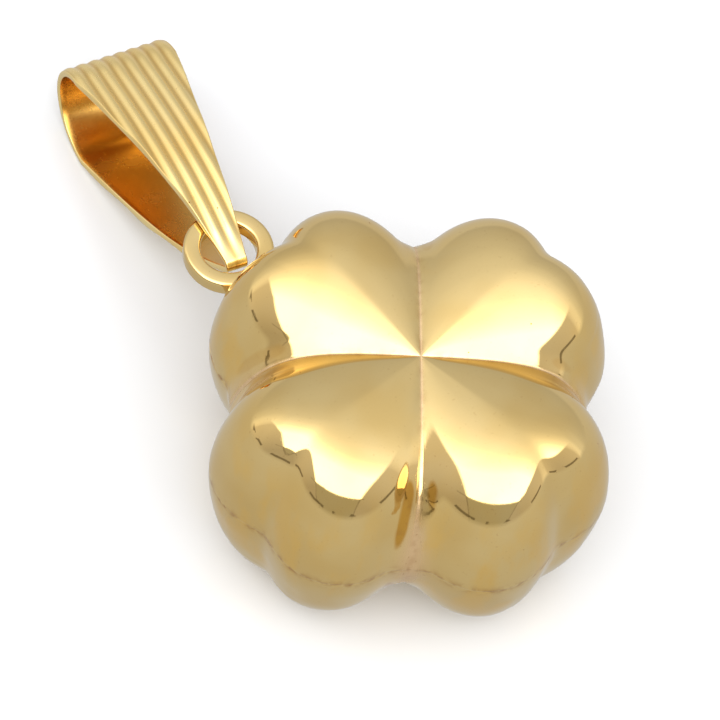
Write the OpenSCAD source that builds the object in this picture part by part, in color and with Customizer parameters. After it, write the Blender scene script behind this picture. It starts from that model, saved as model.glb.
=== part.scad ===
// Puffed four leaf clover pendant in polished yellow gold, lying on its back.
// Two stamped half shells and a ring are soldered into one hollow clover, and a
// fluted strip bent into a teardrop loop is its bail.
// +Y runs from the clover to the ring, +X to the right and +Z out of the front.

/* [Clover outline] */
// Distance from the clover's centre to the centre of each round lobe
lobe_reach = 4.58; // [4.2:0.02:5.4]
// Radius of each round lobe
lobe_r = 2.16; // [1.9:0.02:2.6]
// Angle between a leaf's midline and the middle of each of its two lobes
lobe_turn = 15.7; // [13:0.1:19]
// How softly the two lobes run together at the notch of the heart
notch_soft = 0.38; // [0.1:0.02:0.8]
// Distance from the clover's centre to the web in the corner between two leaves
web_r = 5.54; // [5:0.02:5.9]
// How softly the leaves run into the web
web_soft = 0.3; // [0.05:0.01:0.4]

/* [Clover depth] */
// Height of the leaves' crests above the seam
crest_h = 4.28; // [3.2:0.02:5]
// Height of the point where the four leaves meet, as a share of the crests' height
centre_share = 0.82; // [0.7:0.01:0.9]
// Share of the way to the rim at which a leaf is highest
crest_at = 0.76; // [0.5:0.01:0.85]
// How late a leaf's midline levels out on its way to its highest point
crest_bend = 1.7; // [1.6:0.1:2.4]
// Squareness of the shoulder between the top and the wall
shoulder = 10.2; // [6:0.2:12]
// Steepness with which the wall drops to the rim
wall_drop = 0.7; // [0.5:0.01:0.8]
// Fullness of a leaf from groove to groove near the centre
leaf_full = 1.2; // [1:0.01:1.6]
// Roundness of a leaf from groove to groove at the rim
leaf_round = 0.94; // [0.6:0.01:1]
// Radius at the bottom of a groove
groove_r = 0.08; // [0.04:0.01:0.3]
// Share of its height that a groove loses on its way to the rim
groove_drop = 0.5; // [0.3:0.01:0.6]
// How late a groove starts to dip
groove_bend = 3.6; // [2:0.1:4]
// Height of the rounded lip beside the seam on each half
seam_h = 0.15; // [0.1:0.01:0.3]
// Depth of the crease where the two halves meet
seam_dip = 0.05; // [0.02:0.01:0.1]
// Thickness of the stamped sheet
wall = 0.3; // [0.2:0.02:0.4]

/* [Ring] */
// Outer radius of the ring
ring_r = 1.43; // [1.3:0.01:1.7]
// Radius of the hole in the ring
ring_bore_r = 0.89; // [0.85:0.01:1]
// Thickness of the ring from front to back
ring_t = 0.58; // [0.4:0.02:0.7]
// Rounding of the ring's edges
ring_edge_r = 0.1; // [0.05:0.01:0.16]
// Gap between the ring and the heart's notch, which the solder fills
solder_gap = 0.08; // [0.02:0.01:0.15]
// Width of the solder
solder_w = 1.1; // [0.7:0.05:1.4]
// Depth to which the solder laps the ring and the clover's rim
solder_lap = 0.18; // [0.1:0.01:0.22]

/* [Bail] */
// Distance from the pinched end to the centre of the bend over the chain
bail_len = 8.3; // [7:0.1:10]
// Radius of the wide bend at the middle of the strip
bail_bend_r = 1.66; // [1.3:0.02:1.9]
// Half of the distance between the middles of the two leaves at the pinch
bail_pinch = 0.16; // [0.15:0.01:0.2]
// How full the loop is near the ring
bail_belly = 3; // [2.6:0.1:3.4]
// Width of the strip over the chain
bail_w = 3.52; // [3:0.02:4.2]
// Width of the strip at the pinch
bail_tip_w = 0.74; // [0.6:0.02:0.9]
// Thickness of the strip at the bottom of its flutes
bail_t = 0.2; // [0.16:0.01:0.24]
// Height of the rounded ridges between the flutes
ridge_h = 0.05; // [0.03:0.01:0.08]
// Number of ridges across the strip at its widest
ridge_count = 8; // [6:1:10]
// Angle by which the bail lies swung to one side
bail_turn = 21; // [0:1:25]
// Gap between the bail and the ring that it hangs on
bail_clear = 0.05; // [0.03:0.01:0.08]

/* [Hidden] */
leaves = 4;
leaf_angle = 360 / leaves;
gold = [0.80, 0.66, 0.36];
centre_h = centre_share * crest_h;
groove_start = 0.6;
shell_steps = 96;
shell_rings = 14;
void_steps = 48;
void_rings = 8;
leg_steps = 13;
leg_crowding = 1.4;
bend_steps = 12;
pinch_steps = 4;
ridge_steps = 5;
inner_steps = 6;
lift_steps = 60;
round_fn = 48;
edge_fn = 16;

// Larger of two lengths, blended where they are nearly equal
function soft_max(a, b, soft) = (a + b + sqrt((a - b) * (a - b) + soft * soft)) / 2;

// Angle from the midline of the nearest leaf
function leaf_turn(a) = a - leaf_angle * round(a / leaf_angle);

// Far edge of a lobe, seen from the clover's centre at an angle from the lobe's middle
function lobe_edge(a, r) =
    let (side = lobe_reach * sin(a), rest = r * r - side * side)
    rest > 0 ? lobe_reach * cos(a) + sqrt(rest) : 0;

// Outline of the clover at an angle, drawn in by an inset
function rim(a, inset) =
    let (t = leaf_turn(a),
         left = lobe_edge(t - lobe_turn, lobe_r - inset),
         right = lobe_edge(t + lobe_turn, lobe_r - inset))
    soft_max(soft_max(left, right, notch_soft), web_r - inset, web_soft);

// How far a leaf has risen out of its groove at an angle, from 0 in the groove to 1 on its midline
function leaf_rise(share, a) =
    let (soft = 2 * groove_r / max(share * rim(a, 0), groove_start),
         open = (norm([cos(2 * leaf_turn(a)), soft]) - soft) / (norm([1, soft]) - soft),
         round = 1 - (1 - leaf_round) * share,
         full = leaf_full - (leaf_full - 1) * share)
    1 - pow(1 - pow(open, round), full);

// Height above the seam at a share of the way to the rim
function half_z(share, a, inset) =
    let (top = crest_h - inset - seam_h,
         middle = centre_h - inset - seam_h,
         crest = top - (top - middle) * pow(max(1 - share / crest_at, 0), crest_bend),
         groove = middle * (1 - groove_drop * pow(share, groove_bend)))
    seam_h + pow(1 - pow(share, shoulder), wall_drop)
             * (groove + (crest - groove) * leaf_rise(share, a));

// Level lines of a half shell from the crest to the lip, as shares of the rim
function shares(rings) = [for (i = [1:rings]) sin(90 * i / rings)];

function level(share, side, steps, inset) =
    [for (i = [0:steps - 1])
        let (a = 360 * i / steps, r = share * rim(a, inset))
        [r * cos(a), r * sin(a), side * half_z(share, a, inset)]];

function crease(steps, inset) =
    [for (i = [0:steps - 1])
        let (a = 360 * i / steps, r = rim(a, inset) - seam_dip)
        [r * cos(a), r * sin(a), 0]];

// Both halves as one stack of level lines, with a point at the front and at the back
function flatten(rows) = [for (row = rows, p = row) p];

function shell_points(steps, rings, inset) =
    let (down = shares(rings), centre = centre_h - inset)
    concat([[0, 0, centre]],
           flatten([for (s = down) level(s, 1, steps, inset)]),
           crease(steps, inset),
           flatten([for (i = [rings - 1:-1:0]) level(down[i], -1, steps, inset)]),
           [[0, 0, -centre]]);

function shell_faces(steps, rows) =
    let (last = steps * rows + 1)
    concat([for (i = [0:steps - 1]) [0, 1 + (i + 1) % steps, 1 + i]],
           [for (k = [0:rows - 2], i = [0:steps - 1], half = [0, 1])
               let (a = 1 + k * steps + i, b = 1 + k * steps + (i + 1) % steps)
               half == 0 ? [a, b, b + steps] : [a, b + steps, a + steps]],
           [for (i = [0:steps - 1])
               [last, last - steps + i, last - steps + (i + 1) % steps]]);

module puffed_shell(steps, rings, inset) {
    polyhedron(points = shell_points(steps, rings, inset),
               faces = shell_faces(steps, 2 * rings + 1));
}

// Half of the clover's thickness, which is the height of the seam above the floor
half_t = max([for (s = shares(shell_rings)) half_z(s, 0, 0)]);
notch_r = rim(leaf_angle, 0);
ring_y = notch_r + solder_gap + ring_r;

// Section of the ring: a bar with four rounded edges
module ring_section() {
    bar_w = ring_r - ring_bore_r;
    translate([ring_bore_r, -ring_t / 2 + ring_edge_r])
        square([bar_w, ring_t - 2 * ring_edge_r]);
    translate([ring_bore_r + ring_edge_r, -ring_t / 2])
        square([bar_w - 2 * ring_edge_r, ring_t]);
    for (x = [ring_bore_r + ring_edge_r, ring_r - ring_edge_r], side = [-1, 1])
        translate([x, side * (ring_t / 2 - ring_edge_r)])
            circle(r = ring_edge_r, $fn = edge_fn);
}

module ring() {
    translate([0, ring_y, 0])
        rotate_extrude($fn = round_fn)
            ring_section();
}

// Solder that fills the corner between the ring and the heart's notch
module solder() {
    height = ring_t - 2 * ring_edge_r;
    difference() {
        translate([-solder_w / 2, notch_r - solder_lap, -height / 2])
            cube([solder_w, 2 * solder_lap + solder_gap, height]);
        translate([0, ring_y, 0])
            cylinder(r = (ring_r + ring_bore_r) / 2, h = 2 * ring_t, center = true, $fn = round_fn);
    }
}

// Side of the bail: distance of the strip's middle from the loop's axis
function leg_z(share) =
    bail_pinch + (bail_bend_r - bail_pinch) * (1 - pow(1 - share, bail_belly));

// Slope of a leg where it leaves the pinch, and the small bend that closes it
leg_slope = atan(bail_belly * (bail_bend_r - bail_pinch) / bail_len);
pinch_r = bail_pinch / cos(leg_slope);
pinch_y = pinch_r * sin(leg_slope);
strip_out = bail_t / 2 + ridge_h;

// Stations round the loop, each [along the axis, off the axis, direction of its outside]
function leg_station(i, side) =
    let (share = pow(i / leg_steps, leg_crowding),
         rise = bail_belly * (bail_bend_r - bail_pinch) * pow(1 - share, bail_belly - 1),
         out = 90 + atan(rise / bail_len))
    [share * bail_len, side * leg_z(share), side * out];

front_leg = [for (i = [0:leg_steps]) leg_station(i, 1)];
back_leg = [for (i = [leg_steps:-1:0]) leg_station(i, -1)];
wide_bend = [for (i = [1:bend_steps - 1])
    let (a = 90 - 180 * i / bend_steps)
    [bail_len + bail_bend_r * cos(a), bail_bend_r * sin(a), a]];
pinch_bend = [for (i = [1:pinch_steps - 1])
    let (a = -90 - leg_slope - (180 - 2 * leg_slope) * i / pinch_steps)
    [pinch_y + pinch_r * cos(a), pinch_r * sin(a), a]];
stations = concat(front_leg, wide_bend, back_leg, pinch_bend);

// Width of the strip, and the height of its ridges, which run side by side
function strip_w(along) =
    bail_tip_w + (bail_w - bail_tip_w) * min(max(along / bail_len, 0), 1);
function ridge(x) = ridge_h * abs(sin(180 * x * ridge_count / bail_w));

outer_steps = ridge_count * ridge_steps;
strip_points = outer_steps + inner_steps + 2;

function strip_point(station, j) =
    let (w = strip_w(station[0]),
         outside = j <= outer_steps,
         x = outside ? w * (j / outer_steps - 0.5)
                     : w * (0.5 - (j - outer_steps - 1) / inner_steps),
         off = outside ? bail_t / 2 + ridge(x) : -bail_t / 2)
    [x, station[0] + off * cos(station[2]), station[1] + off * sin(station[2])];

module strip_loop() {
    n = len(stations);
    points = [for (s = stations, j = [0:strip_points - 1]) strip_point(s, j)];
    faces = [for (k = [0:n - 1], j = [0:strip_points - 1], half = [0, 1])
        let (here = k * strip_points, next = ((k + 1) % n) * strip_points,
             jn = (j + 1) % strip_points)
        half == 0 ? [here + j, next + jn, here + jn] : [here + j, next + j, next + jn]];
    polyhedron(points = points, faces = faces);
}

// The pinch sits in the ring's hole, straight behind the ring's centre
pinch_reach = pinch_r - pinch_y + strip_out;
hole_reach = sqrt(pow(ring_bore_r - bail_clear, 2) - pow(bail_tip_w / 2, 2));
bail_seat = hole_reach - pinch_reach;

// The bend over the chain rests on the floor and the front leg clears the ring's face.
// Lift and slope depend on each other, so the lift is worked out a second time.
bend_out = bail_bend_r + strip_out;
leg_inside = bail_t / 2 / cos(leg_slope);
function slope_for(lift) = asin((half_t + lift - bend_out) / bail_len);
function over_bar(along) =
    norm([strip_w(along) / 2, along - bail_seat]) > ring_bore_r - bail_clear;
function lift_for(slope) =
    max([for (i = [0:lift_steps])
        let (along = (bail_seat + ring_r) * i / lift_steps)
        over_bar(along) && along > bail_seat
            ? ring_t / 2 + bail_clear + along * sin(slope)
              - (leg_z(along / bail_len) - leg_inside) * cos(slope)
            : 0]);
first_lift = lift_for(slope_for(0));
bail_lift = lift_for(slope_for(first_lift));
bail_slope = slope_for(bail_lift);

// Middle of the whole pendant along Y, between the lowest lobes and the bail's far end
reach_back = max([for (i = [0:shell_steps - 1])
    let (a = 360 * i / shell_steps)
    rim(a, 0) * cos(a)]);
bend_y = ring_y - bail_seat * cos(bail_turn) + bail_len * cos(bail_slope) * cos(bail_turn);
reach_front = bend_y + (bail_bend_r + bail_t / 2) * cos(bail_turn) + bail_w / 2 * sin(bail_turn);
middle_y = (reach_front - reach_back) / 2;

module clover() {
    color(gold)
        translate([0, -middle_y, half_t])
            union() {
                difference() {
                    puffed_shell(shell_steps, shell_rings, 0);
                    puffed_shell(void_steps, void_rings, wall);
                }
                ring();
                solder();
            }
}

module bail() {
    color(gold)
        translate([0, ring_y - middle_y, half_t + bail_lift])
            rotate([0, 0, -bail_turn])
                translate([0, -bail_seat, 0])
                    rotate([-bail_slope, 0, 0])
                        strip_loop();
}

clover();
bail();
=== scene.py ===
import math
import bpy
import numpy as np
from mathutils import Matrix, Quaternion, Vector


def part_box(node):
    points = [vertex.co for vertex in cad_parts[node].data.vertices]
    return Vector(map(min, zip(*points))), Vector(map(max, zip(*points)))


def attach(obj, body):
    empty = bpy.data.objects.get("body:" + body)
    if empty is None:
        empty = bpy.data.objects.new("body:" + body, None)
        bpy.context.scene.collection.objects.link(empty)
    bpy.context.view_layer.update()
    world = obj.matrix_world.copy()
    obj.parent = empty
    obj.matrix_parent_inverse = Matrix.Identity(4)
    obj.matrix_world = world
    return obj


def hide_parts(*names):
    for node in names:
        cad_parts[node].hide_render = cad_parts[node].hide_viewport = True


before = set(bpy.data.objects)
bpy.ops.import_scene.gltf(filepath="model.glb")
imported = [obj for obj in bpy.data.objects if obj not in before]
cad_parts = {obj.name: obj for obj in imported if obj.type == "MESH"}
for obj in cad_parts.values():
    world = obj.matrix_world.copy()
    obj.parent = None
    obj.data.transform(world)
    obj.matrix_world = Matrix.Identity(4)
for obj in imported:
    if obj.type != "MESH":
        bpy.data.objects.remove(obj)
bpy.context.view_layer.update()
mm = 0.001

# Camera
# A long lens looks steeply down from the lower left of the clover, turned a little about
# its own axis. It aims between the clover's centre and the ring, at the height of the seam.
clover_low, clover_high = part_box("clover")
clover_y = clover_low.y + clover_high.x
seam_z = clover_high.z / 2

azimuth, elevation, roll = math.radians(-55.9), math.radians(58.5), math.radians(12.1)
aim_x, aim_y, distance = 0.28, 2.36, 199
focal_length, sensor_width, nearest, farthest = 320, 36, 10, 10000


def put(name, data):
    thing = bpy.data.objects.new(name, data)
    bpy.context.scene.collection.objects.link(thing)
    return thing


lens = bpy.data.cameras.new("camera")
lens.lens, lens.sensor_width = focal_length, sensor_width
lens.clip_start, lens.clip_end = nearest * mm, farthest * mm
aim = Vector((aim_x * mm, clover_y + aim_y * mm, seam_z))
away = Vector((math.sin(azimuth) * math.cos(elevation),
               -math.cos(azimuth) * math.cos(elevation),
               math.sin(elevation)))
camera = put("camera", lens)
camera.rotation_mode = "QUATERNION"
camera.rotation_quaternion = away.to_track_quat("Z", "Y") @ Quaternion((0, 0, 1), roll)
camera.location = aim + away * distance * mm
bpy.context.scene.camera = camera
bpy.context.scene.view_settings.view_transform = "Standard"


# Half shells of the clover
# Two stampings of thin gold sheet, each with four puffed heart-shaped leaves, are soldered
# rim to rim and buffed to a mirror. The back one sits a little off, and brown polish stays
# in the seam and in the corners between the leaves. The corners also get painted shade.

# Outline: a leaf ends in two round lobes, and a round web fills the corners
half_leaf = math.radians(45)
lobe_reach, lobe_r, lobe_turn, notch_soft = 4.58, 2.16, math.radians(15.7), 0.38
web_r, web_soft = 5.54, 0.3
# Heights along a leaf's midline, and the drop of the wall. crest_at is a share of the way
# from the centre to the outline.
crest_h, centre_h, crest_at, crest_bend = 4.28, 3.51, 0.76, 1.7
shoulder, wall_drop = 10.2, 0.7
# Grooves between the leaves, and how full the leaves rise out of them near the centre
groove_drop, groove_bend, groove_r, groove_start = 0.5, 3.6, 0.045, 0.6
leaf_full, full_end = 1.2, 0.625
# Rim and sheet, and unevenness from the press, which is stronger low on the wall
lip_h, lip_dip, sheet = 0.07, 0.012, 0.3
press_depth, press_size = 0.012, 2.6
lump_depth, lump_size, lump_top = 0.05, 1.8, 0.6
# How far the back shell is turned and moved against the front one
back_turn, back_off = math.radians(0.2), (0.02, 0.015)
# Steps round each leaf, crowded towards the grooves, and rows from the centre to the rim
steps_per_leaf, crowding, rows, lip_rows, inside_rows = 128, 1.6, 96, 3, 20


class Wiring:
    """The nodes of a finish or of the light tent. An input is a value or a node's output."""

    def __init__(self, owner):
        owner.use_nodes = True
        self.tree = owner.node_tree

    def add(self, kind, *inputs, **settings):
        node = self.tree.nodes.new(kind)
        for key, value in settings.items():
            setattr(node, key, value)
        for socket, value in zip(node.inputs, inputs):
            self.set(socket, value)
        return node

    def set(self, socket, value):
        if isinstance(value, bpy.types.NodeSocket):
            self.tree.links.new(value, socket)
        elif value is not None:
            socket.default_value = value

    def math(self, operation, *inputs):
        return self.add("ShaderNodeMath", *inputs, operation=operation).outputs[0]

    def times(self, first, second):
        return self.math("MULTIPLY", first, second)

    def mix(self, share, first, second):
        node = self.add("ShaderNodeMix", data_type="RGBA")
        for k, value in ((0, share), (6, first), (7, second)):
            self.set(node.inputs[k], value)
        return node.outputs[2]


class Finish(Wiring):
    """A finish whose patterns are measured in millimetres on the piece."""

    def __init__(self, name):
        self.material = bpy.data.materials.new(name)
        super().__init__(self.material)
        self.shader = self.tree.nodes["Principled BSDF"]
        place = self.add("ShaderNodeTexCoord").outputs["Object"]
        in_mm = self.add("ShaderNodeVectorMath", place, operation="SCALE")
        in_mm.inputs["Scale"].default_value = 1 / mm
        self.place = in_mm.outputs[0]

    def wear_and_painted_shade(self, label):
        """How much of one marking the mesh has, from 0 to 1: worn metal, stain, film or painted shade.
        """
        return self.add("ShaderNodeAttribute", attribute_name=label).outputs["Fac"]

    def stretched(self, scale, turn):
        """The place with its pattern drawn out by the scale, along axes turned by the turn."""
        node = self.add("ShaderNodeMapping", self.place, vector_type="TEXTURE")
        node.inputs["Scale"].default_value = scale
        node.inputs["Rotation"].default_value = turn
        return node.outputs[0]

    def noise(self, per_mm, detail=2.0, place=None):
        node = self.add("ShaderNodeTexNoise")
        self.set(node.inputs["Vector"], place or self.place)
        node.inputs["Scale"].default_value = per_mm
        node.inputs["Detail"].default_value = detail
        return node.outputs["Fac"]

    def spots(self, per_mm, begin, full, detail=2.0, place=None, off=0.0, on=1.0):
        """Spots of noise: off where it is under begin, and on where it is over full."""
        noise = self.noise(per_mm, detail, place)
        node = self.add("ShaderNodeMapRange", noise, begin, full, off, on)
        node.interpolation_type = "SMOOTHSTEP"
        return node.outputs[0]


def gold(name, clean, deep, polish, scratch_turn):
    """Gold that drifts from a clean to a deep tone. Polish is its roughness where it is clean."""
    raw_pink, raw_share = (0.86, 0.60, 0.36, 1), 0.75
    film_amber, film_share = (0.85, 0.55, 0.15, 1), 0.6
    stain_brown, stain_share, crumb_share = (0.42, 0.20, 0.06, 1), 0.75, 0.6
    # Colour of the painted shade in the clover's corners, between the bail's ridges and inside its loop
    shade_brown = (0.60, 0.31, 0.04, 1)
    crumbs_on_clean = 0.35
    pits_per_mm, pit_r, pits_left_out = 1.3, 0.04, 0.6
    dullest, worn_rough, scratch_rough = 1.5, 0.3, 0.04
    grain_h, raw_grain_h, pit_depth, scratch_depth, relief_h = 0.5, 6.0, 3.0, 0.3, 0.0006

    metal = Finish(name)
    raw, tarnish = metal.wear_and_painted_shade("unpolished"), metal.wear_and_painted_shade("tarnish")

    # Unpolished metal is pinker, polish leaves an amber film in streaks, and shade is painted brown
    tone = metal.mix(metal.spots(per_mm=0.35, begin=0.35, full=0.7), clean, deep)
    tone = metal.mix(metal.times(raw, raw_share), tone, raw_pink)
    streaks = metal.spots(per_mm=0.9, begin=0.44, full=0.62, detail=5.0,
                          place=metal.stretched(scale=(1, 1, 2.5), turn=(0, 0, 0)))
    film = metal.times(metal.wear_and_painted_shade("film"), streaks)
    tone = metal.mix(metal.times(film, film_share), tone, film_amber)
    # Painted shade: the tone turns brown where the mesh marks shade
    tone = metal.mix(metal.wear_and_painted_shade("shade"), tone, shade_brown)

    # Brown marks: blotches of tarnish, crumbs of polish and a few pits
    stain = metal.times(tarnish, metal.spots(per_mm=3.2, begin=0.42, full=0.66, detail=6.0))
    worn = metal.math("MAXIMUM", raw, tarnish)
    crumbs = metal.times(metal.spots(per_mm=11.0, begin=0.66, full=0.72, detail=4.0),
                         metal.math("ADD", crumbs_on_clean, metal.times(1 - crumbs_on_clean, worn)))
    cell = metal.add("ShaderNodeTexVoronoi", metal.place, None, pits_per_mm)
    pit = metal.times(metal.math("LESS_THAN", cell.outputs["Distance"], pit_r),
                      metal.math("GREATER_THAN", cell.outputs["Color"], pits_left_out))
    marks = metal.math("MAXIMUM", pit, metal.times(crumbs, crumb_share))
    marks = metal.math("MAXIMUM", metal.times(stain, stain_share), marks)
    metal.set(metal.shader.inputs["Base Color"], metal.mix(marks, tone, stain_brown))

    # Marks, unpolished metal and fine buffing scratches are rougher than the mirror
    scratch = metal.spots(per_mm=3.0, begin=0.60, full=0.72, detail=3.0,
                          place=metal.stretched(scale=(3, 0.25, 0.25), turn=scratch_turn))
    rough = metal.spots(per_mm=0.8, begin=0.3, full=0.7, detail=4.0, off=polish, on=polish * dullest)
    rough = metal.math("ADD", rough, metal.times(metal.math("MAXIMUM", marks, raw), worn_rough))
    rough = metal.math("ADD", rough, metal.times(scratch, scratch_rough))
    metal.set(metal.shader.inputs["Roughness"], rough)
    metal.shader.inputs["Metallic"].default_value = 1.0

    # Relief: a faint grain, coarser on unpolished metal, with the pits and scratches sunk in it
    grain_depth = metal.math("ADD", grain_h, metal.times(raw, raw_grain_h))
    grain = metal.times(grain_depth, metal.noise(per_mm=9.0, detail=3.0))
    sunk = metal.math("ADD", metal.times(pit, pit_depth), metal.times(scratch, scratch_depth))
    bump = metal.add("ShaderNodeBump")
    bump.inputs["Distance"].default_value = relief_h * mm
    metal.set(bump.inputs["Height"], metal.math("SUBTRACT", grain, sunk))
    metal.set(metal.shader.inputs["Normal"], bump.outputs[0])
    return metal.material


mirror_gold = gold("mirror_gold", clean=(0.80, 0.60, 0.27, 1), deep=(0.76, 0.54, 0.21, 1),
                   polish=0.035, scratch_turn=(0.4, 0.2, 0.7))


def soft_max(a, b, soft):
    """The larger of two values, rounded off where they are nearly the same."""
    return (a + b + np.sqrt((a - b) ** 2 + soft ** 2)) / 2


def lobe_edge(turn, radius):
    """Radius of the clover at a turn away from a lobe's middle, and 0 beside the lobe."""
    side = lobe_reach * np.sin(turn)
    rest = np.maximum(radius ** 2 - side ** 2, 0)
    return np.where(rest > 0, lobe_reach * np.cos(turn) + np.sqrt(rest), 0)


def outline(turn, inset):
    """Radius of the clover at a turn away from a leaf's midline."""
    left = lobe_edge(turn - lobe_turn, lobe_r - inset)
    right = lobe_edge(turn + lobe_turn, lobe_r - inset)
    return soft_max(soft_max(left, right, notch_soft), web_r - inset, web_soft)


def leaf_rise(share, turn):
    """How far a leaf has risen out of its groove, from 0 in the groove to 1 on its midline."""
    soft = 2 * groove_r / np.maximum(share * outline(turn, 0), groove_start)
    open_share = (np.hypot(np.cos(2 * turn), soft) - soft) / (np.hypot(1, soft) - soft)
    full = 1 + (leaf_full - 1) * np.maximum(1 - share / full_end, 0)
    return 1 - np.maximum(1 - open_share, 0) ** full


def height(share, turn, inset):
    """Height over the seam at a share of the way out and a turn away from the midline."""
    top, middle = crest_h - inset - lip_h, centre_h - inset - lip_h
    crest = top - (top - middle) * np.maximum(1 - share / crest_at, 0) ** crest_bend
    groove = middle * (1 - groove_drop * share ** groove_bend)
    leaf = groove + (crest - groove) * leaf_rise(share, turn)
    return lip_h + (1 - share ** shoulder) ** wall_drop * leaf


def closed_rows(rings, first, last):
    """Points and faces of rows of rings, closed by one point at each end."""
    count = len(rings[0])
    points = np.vstack([[first], *rings, [last]])
    ring = np.arange(count)
    after = np.roll(ring, -1)
    faces = [(0, 1 + j, 1 + i) for i, j in zip(ring, after)]
    for k in range(len(rings) - 1):
        a, b = 1 + k * count + ring, 1 + k * count + after
        faces += np.stack([a, b, b + count, a + count], 1).tolist()
    end = len(points) - 1
    faces += [(end, end - count + i, end - count + j) for i, j in zip(ring, after)]
    return points, faces


def piece(name, points, faces, finish):
    mesh = bpy.data.meshes.new(name)
    mesh.from_pydata((np.asarray(points) * mm).tolist(), [], faces)
    mesh.polygons.foreach_set("use_smooth", [True] * len(mesh.polygons))
    mesh.materials.append(finish)
    return put(name, mesh)


def put_wear_and_painted_shade(thing, label, shares):
    wear_and_painted_shade = thing.data.attributes.new(label, "FLOAT", "POINT")
    wear_and_painted_shade.data.foreach_set("value", np.clip(shares, 0, 1))


def shell_mesh(side, turned, moved):
    """A sheet that runs from the centre over the wall to the rim, and back on its inside."""
    run = np.linspace(-1, 1, steps_per_leaf, endpoint=False)
    turn = half_leaf * np.sign(run) * (1 - (1 - np.abs(run)) ** crowding)
    turns = np.concatenate([turn] * 4)
    angle = np.concatenate([turn + k * 2 * half_leaf for k in range(4)]) + turned
    direction = np.stack([np.cos(angle), np.sin(angle)], 1)

    def ring(radius, z):
        across = direction * np.reshape(radius, (-1, 1)) + moved
        return np.column_stack([across, side * z + 0 * angle])

    edge, inner_edge = outline(turns, 0), outline(turns, sheet)
    shares = np.sin(np.linspace(0, math.pi / 2, rows + 1))[1:]
    rings = [ring(s * edge, height(s, turns, 0)) for s in shares]
    for k in range(1, lip_rows + 1):
        bend = math.pi / 2 * k / lip_rows
        rings.append(ring(edge - lip_dip * (1 - math.cos(bend)), lip_h * (1 - math.sin(bend))))
    rings.append(ring(inner_edge, 0))
    inner_shares = np.sin(np.linspace(math.pi / 2, 0, inside_rows + 1))[:-1]
    rings += [ring(s * inner_edge, height(s, turns, sheet)) for s in inner_shares]
    first, last = (*moved, side * centre_h), (*moved, side * (centre_h - sheet))
    points, faces = closed_rows(rings, first, last)
    if side < 0:
        faces = [f[::-1] for f in faces]
    return points, faces


def band(off, width):
    """1 on a line, and fading away from it."""
    return np.exp(-(off / width) ** 2)


def grow(value, start, full):
    """From 0 where a value is at the start to 1 where it is full."""
    return np.clip((value - start) / (full - start), 0, 1)


def shell_wear_and_painted_shade(points):
    """How much of each marking every point has: worn metal, stain, film and painted shade.

    Heights are shares of the crest's height, and widths and radii are in millimetres.
    """
    seam_stain, seam_stain_share, seam_line, seam_line_share = 0.05, 0.6, 0.016, 0.4
    film_top, film_full = 0.9375, 0.3125
    crease_w, groove_w, groove_share = 0.05, 0.14, 0.3
    widen_from, widen_to, corner_w, corner_in, corner_out = 0.75, 0.10, 0.34, 4.4, 5.2
    pocket_off, pocket_w, pocket_in, pocket_out = 0.3, 0.2, 3.9, 4.4
    pocket_end, long_pocket_end, pocket_fade, pocket_edge, pocket_full = 0.45, 0.14, 0.25, 0.35, 0.6
    pocket_stain, pocket_shade = 0.3, 0.9
    lowest_quarter, other_corners, other_pockets = -2, 0.5, 0.25

    radius = np.hypot(points[:, 0], points[:, 1])
    around = np.arctan2(points[:, 1], points[:, 0])
    off_groove = np.abs(around % (2 * half_leaf) - half_leaf) * radius
    past_groove = (around + half_leaf) % (2 * half_leaf) < half_leaf
    lowest = np.floor(around / (2 * half_leaf)) == lowest_quarter
    up = np.abs(points[:, 2]) / crest_h
    down = grow(up, widen_from, widen_to)

    # A groove widens down the wall into a corner that the buff doesn't reach
    corner = grow(radius, corner_in, corner_out) * np.where(lowest, 1, other_corners)
    corner = band(off_groove, groove_w + corner_w * down) * corner
    # Polish stains a pocket on each side of a groove's outer end, one shorter than the other,
    # and mostly at the lowest groove. The same pockets get a stronger painted shade.
    pocket_stain_and_shade = band(off_groove - pocket_off * (1 + down), pocket_w) * grow(radius, pocket_in, pocket_out)
    ends = np.where(past_groove, pocket_end, long_pocket_end)
    pocket_stain_and_shade = grow(pocket_stain_and_shade * grow(up, ends, ends + pocket_fade), pocket_edge, pocket_full)
    pocket_stain_and_shade = pocket_stain_and_shade * np.where(lowest, 1, other_pockets)
    seam = seam_stain_share * band(up, seam_stain) + seam_line_share * band(up, seam_line)
    # The shade share is painted shade, laid over the brown stain in the pockets
    return {"tarnish": seam + pocket_stain * pocket_stain_and_shade + groove_share * band(off_groove, groove_w),
            "shade": pocket_shade * pocket_stain_and_shade,
            "unpolished": band(off_groove, crease_w) + corner,
            "film": grow(up, film_top, film_full)}


def half_shell(name, side, turned, moved):
    """One stamping. Side is 1 for the front one and -1 for the back one."""
    points, faces = shell_mesh(side, turned, moved)
    shell = piece(name, points, faces, mirror_gold)
    for label, shares in shell_wear_and_painted_shade(points).items():
        put_wear_and_painted_shade(shell, label, shares)

    on_wall = shell.vertex_groups.new(name="wall")
    for i in np.flatnonzero(np.abs(points[:, 2]) < lump_top * crest_h):
        on_wall.add([int(i)], 1.0, "REPLACE")
    for label, depth, size, group in (("press", press_depth, press_size, ""),
                                      ("wall", lump_depth, lump_size, "wall")):
        lumps = bpy.data.textures.new(name + "_" + label, "CLOUDS")
        lumps.noise_scale, lumps.noise_depth = size * mm, 1
        dent = shell.modifiers.new(label, "DISPLACE")
        dent.texture, dent.texture_coords = lumps, "LOCAL"
        dent.strength, dent.vertex_group = depth * mm, group

    shell.location = (0, clover_y, seam_z)
    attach(shell, "root")
    return shell


front = half_shell("front_half_shell", 1, 0.0, (0, 0))
back = half_shell("back_half_shell", -1, back_turn, back_off)
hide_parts("clover")
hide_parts("clover")


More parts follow.
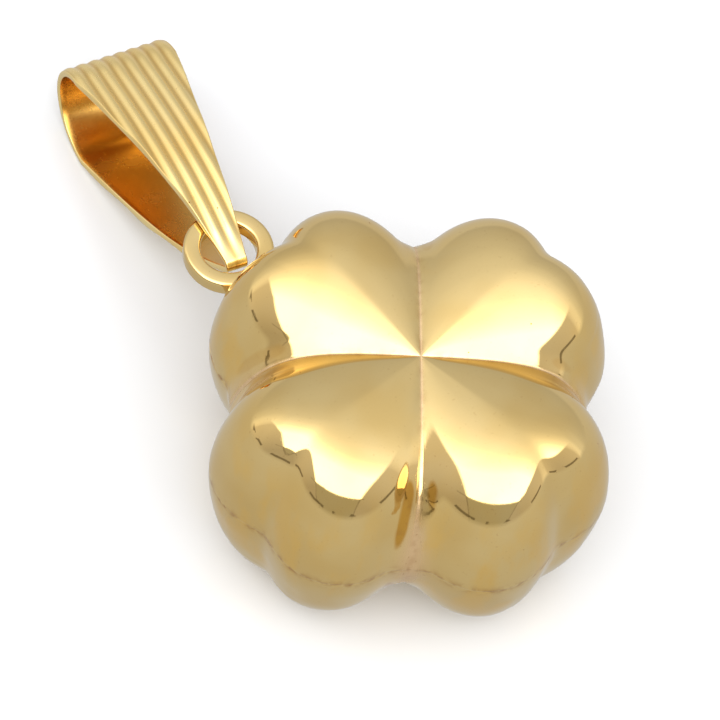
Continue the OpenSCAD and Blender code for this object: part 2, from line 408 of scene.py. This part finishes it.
# Ring
# A small flat ring of gold with rounded edges stands in the plane of the seam, in the notch
# of one leaf. It is soldered there, and holds the bail.
ring_r, bore_r, ring_t, ring_edge = 1.43, 0.89, 0.58, 0.12
ring_steps, ring_edge_steps = 128, 6
ring_y = clover_high.y / mm - ring_r


def ring_section():
    """Section of a bar with round edges, as (radius, height) pairs."""
    inner, outer, half = bore_r + ring_edge, ring_r - ring_edge, ring_t / 2 - ring_edge
    corners = [(outer, half, 0), (inner, half, 90), (inner, -half, 180), (outer, -half, 270)]
    turns = np.radians(np.linspace(0, 90, ring_edge_steps))
    return [(r + ring_edge * math.cos(t + math.radians(start)),
             z + ring_edge * math.sin(t + math.radians(start)))
            for r, z, start in corners for t in turns]


def loop_faces(sections, count):
    """Faces between sections of as many points each, the last one joined to the first."""
    faces = []
    j = np.arange(count)
    after = np.roll(j, -1)
    for k in range(sections):
        here, there = k * count, (k + 1) % sections * count
        faces += np.stack([here + j, there + j, there + after, here + after], 1).tolist()
    return faces


def turned_ring():
    section, points = ring_section(), []
    for a in np.linspace(0, 2 * math.pi, ring_steps, endpoint=False):
        points += [(r * math.cos(a), r * math.sin(a), z) for r, z in section]
    return piece("ring", points, loop_faces(ring_steps, len(section)), mirror_gold)


ring = turned_ring()
ring.location = (0, ring_y * mm, seam_z)
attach(ring, "root")


# Solder
# A drop of gold solder that has run into the corners between the ring and the notch. It
# holds the ring to the rims of both half shells.
solder_w, solder_h, solder_lap = 0.62, 0.24, 0.10
solder_rows, solder_steps = 48, 32


def solder_bead():
    notch_y = ring_y - clover_y / mm
    turns = np.linspace(0, 2 * math.pi, solder_steps, endpoint=False)
    rings = []
    for u in np.linspace(-1, 1, solder_rows + 2)[1:-1]:
        x = solder_w * u
        off_middle = math.atan2(x, web_r)
        edge_y = outline(off_middle, 0) * math.cos(off_middle)
        ring_edge_y = notch_y - math.sqrt(ring_r ** 2 - x ** 2)
        middle, reach = (edge_y + ring_edge_y) / 2, (ring_edge_y - edge_y) / 2 + solder_lap
        round_off = (1 - u ** 2) ** 0.5
        rings.append(np.column_stack([x + 0 * turns,
                                      middle + reach * round_off * np.cos(turns),
                                      solder_h * round_off * np.sin(turns)]))
    points, faces = closed_rows(rings, rings[0].mean(0), rings[-1].mean(0))
    return piece("solder", points, faces, mirror_gold)


solder = solder_bead()
solder.location = (0, clover_y, seam_z)
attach(solder, "root")


# Bail
# One strip of gold with eight drawn ridges, cut narrow at both ends and wide in the
# middle, is bent into a teardrop loop and closed in a tight bend through the ring.

# Loop, from the ring to the wide bend
bail_len, bend_r, pinch, belly = 8.3, 1.66, 0.16, 3
leg_steps, leg_crowding, bend_steps, tight_steps = 70, 1.3, 50, 14
# Strip, and its ridges, which start near the ring and are pressed flatter in the wide bend
strip_w, tip_w, strip_t, strip_edge = 3.52, 0.74, 0.2, 0.05
ridge_h, ridge_pitch, ridge_start = 0.085, 0.44, 0.9
pressed_share, press_start = 0.5, 0.3
strip_steps, inside_steps, edge_steps = 176, 16, 5
# Brown shade between the ridges and inside the loop
valley_shade, inside_shade = 0.5, 0.8
# How the loop lies: swung to one side, sloping down, and seated in the ring
bail_turn, bail_slope, bail_lift, bail_seat = math.radians(21), math.radians(17.77), 0.128, 0.509

# The bail's gold is a brighter copy of the clover's gold: its raised base colour is painted light
brightened_bail_gold = gold("brightened_bail_gold", clean=(0.99, 0.78, 0.36, 1), deep=(0.97, 0.71, 0.28, 1),
                 polish=0.2, scratch_turn=(0.0, 0.0, 1.2))


def loop_line():
    """Along, across and outward direction of the strip's middle, once round the loop."""
    share = np.linspace(0, 1, leg_steps) ** leg_crowding
    across = pinch + (bend_r - pinch) * (1 - (1 - share) ** belly)
    rise = belly * (bend_r - pinch) * (1 - share) ** (belly - 1) / bail_len
    out = math.pi / 2 + np.arctan(rise)
    front_leg = np.column_stack([share * bail_len, across, out])
    back_leg = np.column_stack([share * bail_len, -across, -out])[::-1]
    over = np.linspace(math.pi / 2, -math.pi / 2, bend_steps)[1:-1]
    wide = np.column_stack([bail_len + bend_r * np.cos(over), bend_r * np.sin(over), over])
    slope = math.atan(rise[0])
    small = pinch / math.cos(slope)
    under = np.linspace(-math.pi / 2 - slope, -1.5 * math.pi + slope, tight_steps)[1:-1]
    tight = np.column_stack([small * (math.sin(slope) + np.cos(under)), small * np.sin(under), under])
    return np.vstack([front_leg, wide, back_leg, tight])


def strip_section(width, rise):
    """Section of the strip, ridged outside and plain inside, and how shaded it is."""
    x = np.linspace(strip_edge - width / 2, width / 2 - strip_edge, strip_steps)
    ridge = np.sin(math.pi * x / ridge_pitch) ** 2
    outside = np.column_stack([x, strip_t / 2 + rise * ridge])
    inner_x = np.linspace(x[-1], x[0], inside_steps)
    inside = np.column_stack([inner_x, 0 * inner_x - strip_t / 2])
    bend = np.linspace(0, math.pi, 2 * edge_steps)[1:-1]

    def round_edge(corner, side):
        thick = corner[1] + strip_t / 2
        return np.column_stack([corner[0] + side * strip_edge * np.sin(bend),
                                (side * thick * np.cos(bend) + thick - strip_t) / 2])

    section = np.vstack([outside, round_edge(outside[-1], 1), inside, round_edge(outside[0], -1)])
    valleys = valley_shade * (1 - ridge) ** 3
    return section, np.concatenate([valleys, 0 * bend, inside_shade + 0 * inner_x, 0 * bend])


def strip_loop():
    line = loop_line()
    widths = tip_w + (strip_w - tip_w) * np.clip(line[:, 0] / bail_len, 0, 1)
    pressed = pressed_share * np.clip((line[:, 0] - bail_len) / bend_r + press_start, 0, 1)
    rises = ridge_h * np.clip(line[:, 0] / ridge_start, 0, 1) * (1 - pressed)
    points, shades = [], []
    for (along, across, out), width, rise in zip(line, widths, rises):
        section, shade = strip_section(width, rise)
        points.append(np.column_stack([section[:, 0],
                                       along + section[:, 1] * math.cos(out),
                                       across + section[:, 1] * math.sin(out)]))
        shades.append(shade)
    faces = loop_faces(len(points), len(points[0]))
    loop = piece("fluted_bail", np.vstack(points), faces, brightened_bail_gold)
    put_wear_and_painted_shade(loop, "shade", np.concatenate(shades))
    return loop


bail = strip_loop()
hang = Matrix.Translation((0, ring_y * mm, seam_z + bail_lift * mm))
lie = Matrix.Rotation(-bail_turn, 4, "Z") @ Matrix.Translation((0, -bail_seat * mm, 0))
bail.data.transform(hang @ lie @ Matrix.Rotation(-bail_slope, 4, "X"))
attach(bail, "root")
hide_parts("bail")


# Floor
# A plain pale board with a faint gloss. The gold doesn't mirror it: it mirrors the ground
# tone of the light tent instead.
board_half = 0.6
board_tone, board_rough = (0.66, 0.67, 0.69, 1), 0.22

board = bpy.data.materials.new("pale_board")
board.use_nodes = True
board_shader = board.node_tree.nodes["Principled BSDF"]
board_shader.inputs["Base Color"].default_value = board_tone
board_shader.inputs["Roughness"].default_value = board_rough

floor_mesh = bpy.data.meshes.new("floor")
corners = [(x * board_half, y * board_half, 0) for x, y in ((-1, -1), (1, -1), (1, 1), (-1, 1))]
floor_mesh.from_pydata(corners, [], [(0, 1, 2, 3)])
floor_mesh.materials.append(board)
floor = put("floor", floor_mesh)
floor.visible_glossy = False


# Light tent
# White cloth all round, lit through its roof. The roof is brightest on the camera's side
# and fades away from it, and it ends at plain walls with thin dark joins.
peak = 3.6
white, warm, olive, pinkish = (1, 1, 1), (1, 0.98, 0.93), (1, 0.97, 0.86), (1, 0.95, 0.90)
dark = (0.15 / peak, 0.13 / peak, 0.09 / peak, 1)
# Ways across the tent: towards the camera, and to the camera's right
near_way, side_way = Vector((-0.828, -0.561, 0)), Vector((0.561, -0.828, 0))
# Where the roof ends: in a bow on the camera's side, and at the left and right walls
roof_reach, roof_bow, roof_soft = 0.58, 0.45, 0.03
walls_from, walls_soft, wall_soft = -0.15, 0.16, 0.04
left_reach, left_near_reach, left_near_at = 0.54, 0.41, 0.1
right_reach, right_slant = 0.53, 0.07
# Where the ground begins under the horizon
ground_top, ground_soft = -0.04, 0.12
# Joins: where they are, how wide and how dark. The one at the horizon is torn in places.
roof_join_half, roof_join_w, roof_join_dark = 0.55, 0.006, 0.5
left_join, right_join, wall_join_w, wall_join_dark = -0.42, 0.49, 0.008, 0.45
horizon, horizon_join_w, horizon_join_dark = 0.02, 0.02, 0.8
tears, tear_detail, torn_from, torn_full = 2.6, 3.0, 0.50, 0.52

tent = bpy.data.worlds.new("light_tent")
bpy.context.scene.world = tent
sky = Wiring(tent)
look = sky.add("ShaderNodeTexCoord").outputs["Generated"]
up = sky.add("ShaderNodeSeparateXYZ", look).outputs["Z"]


def place_along(way):
    """Place in a round picture of the sky, with the zenith at 0 and the horizon at 1."""
    share = sky.add("ShaderNodeVectorMath", look, way, operation="DOT_PRODUCT").outputs["Value"]
    least = 0.05
    return sky.math("DIVIDE", share, sky.math("MAXIMUM", sky.math("ADD", up, 1.0), least))


def fade(value, middle, width):
    """From 0 to 1 as a value passes the middle."""
    past = sky.math("SUBTRACT", value, middle)
    return sky.add("ShaderNodeMapRange", past, -width / 2, width / 2).outputs[0]


def cloth(value, *stops):
    """Light of the cloth along a line, from stops of place, brightness and tint."""
    low, high = stops[0][0], stops[-1][0]
    ramp = sky.add("ShaderNodeValToRGB", sky.add("ShaderNodeMapRange", value, low, high).outputs[0])
    colours = ramp.color_ramp.elements
    colours.remove(colours[1])
    for k, (place, tone, tint) in enumerate(stops):
        stop = colours.new((place - low) / (high - low)) if k else colours[0]
        stop.color = (*(tone * part / peak for part in tint), 1)
    return ramp.outputs[0]


def join(value, middle, width, strength, *where):
    """A thin dark join, kept to where all the shares are 1."""
    off = sky.math("ABSOLUTE", sky.math("SUBTRACT", value, middle))
    share = sky.add("ShaderNodeMapRange", off, width, 2 * width, strength, 0.0).outputs[0]
    for limit in where:
        share = sky.times(share, limit)
    return share


near, side = place_along(near_way), place_along(side_way)
roof = cloth(near, (-1.5, 0.54, white), (-0.9, 0.58, white), (-0.6, 0.66, white),
             (-0.45, 0.74, white), (-0.3, 0.93, white), (-0.2, 1.20, white), (-0.1, 1.60, white),
             (0.0, 2.4, white), (0.1, 3.3, white), (0.7, peak, white))
end_wall = cloth(near, (0.4, 0.52, olive), (1.4, 0.46, olive))
left_wall = cloth(near, (-0.2, 0.95, pinkish), (0.6, 0.54, pinkish))
right_wall = cloth(near, (-0.2, 0.85, pinkish), (0.6, 0.56, pinkish))
ground = cloth(up, (-1.0, 0.56, warm), (-0.5, 0.66, warm), (0.0, 0.70, white))

roof_end = sky.math("SUBTRACT", roof_reach, sky.times(sky.times(side, side), roof_bow))
past_end = fade(near, roof_end, roof_soft)
near_half = fade(near, walls_from, walls_soft)
left_end = sky.add("ShaderNodeMapRange", near, walls_from, left_near_at, left_reach, left_near_reach)
past_left = fade(sky.times(side, -1.0), left_end.outputs[0], wall_soft)
right_end = sky.math("SUBTRACT", right_reach, sky.times(near, right_slant))
past_right = fade(side, right_end, wall_soft)
colour = sky.mix(past_end, roof, end_wall)
colour = sky.mix(sky.times(past_left, near_half), colour, left_wall)
colour = sky.mix(sky.times(past_right, near_half), colour, right_wall)

within = sky.math("LESS_THAN", sky.math("ABSOLUTE", side), roof_join_half)
colour = sky.mix(join(near, roof_end, roof_join_w, roof_join_dark, within), colour, dark)
for wall_join in (left_join, right_join):
    colour = sky.mix(join(side, wall_join, wall_join_w, wall_join_dark, past_end), colour, dark)
colour = sky.mix(fade(up, ground_top, ground_soft), ground, colour)
tear = sky.add("ShaderNodeTexNoise", look, None, tears, tear_detail).outputs["Fac"]
torn = sky.add("ShaderNodeMapRange", tear, torn_from, torn_full).outputs[0]
horizon_join = join(up, horizon, horizon_join_w, horizon_join_dark, near_half, torn)
colour = sky.mix(horizon_join, colour, dark)

background = sky.tree.nodes["Background"]
sky.set(background.inputs["Color"], colour)
background.inputs["Strength"].default_value = peak
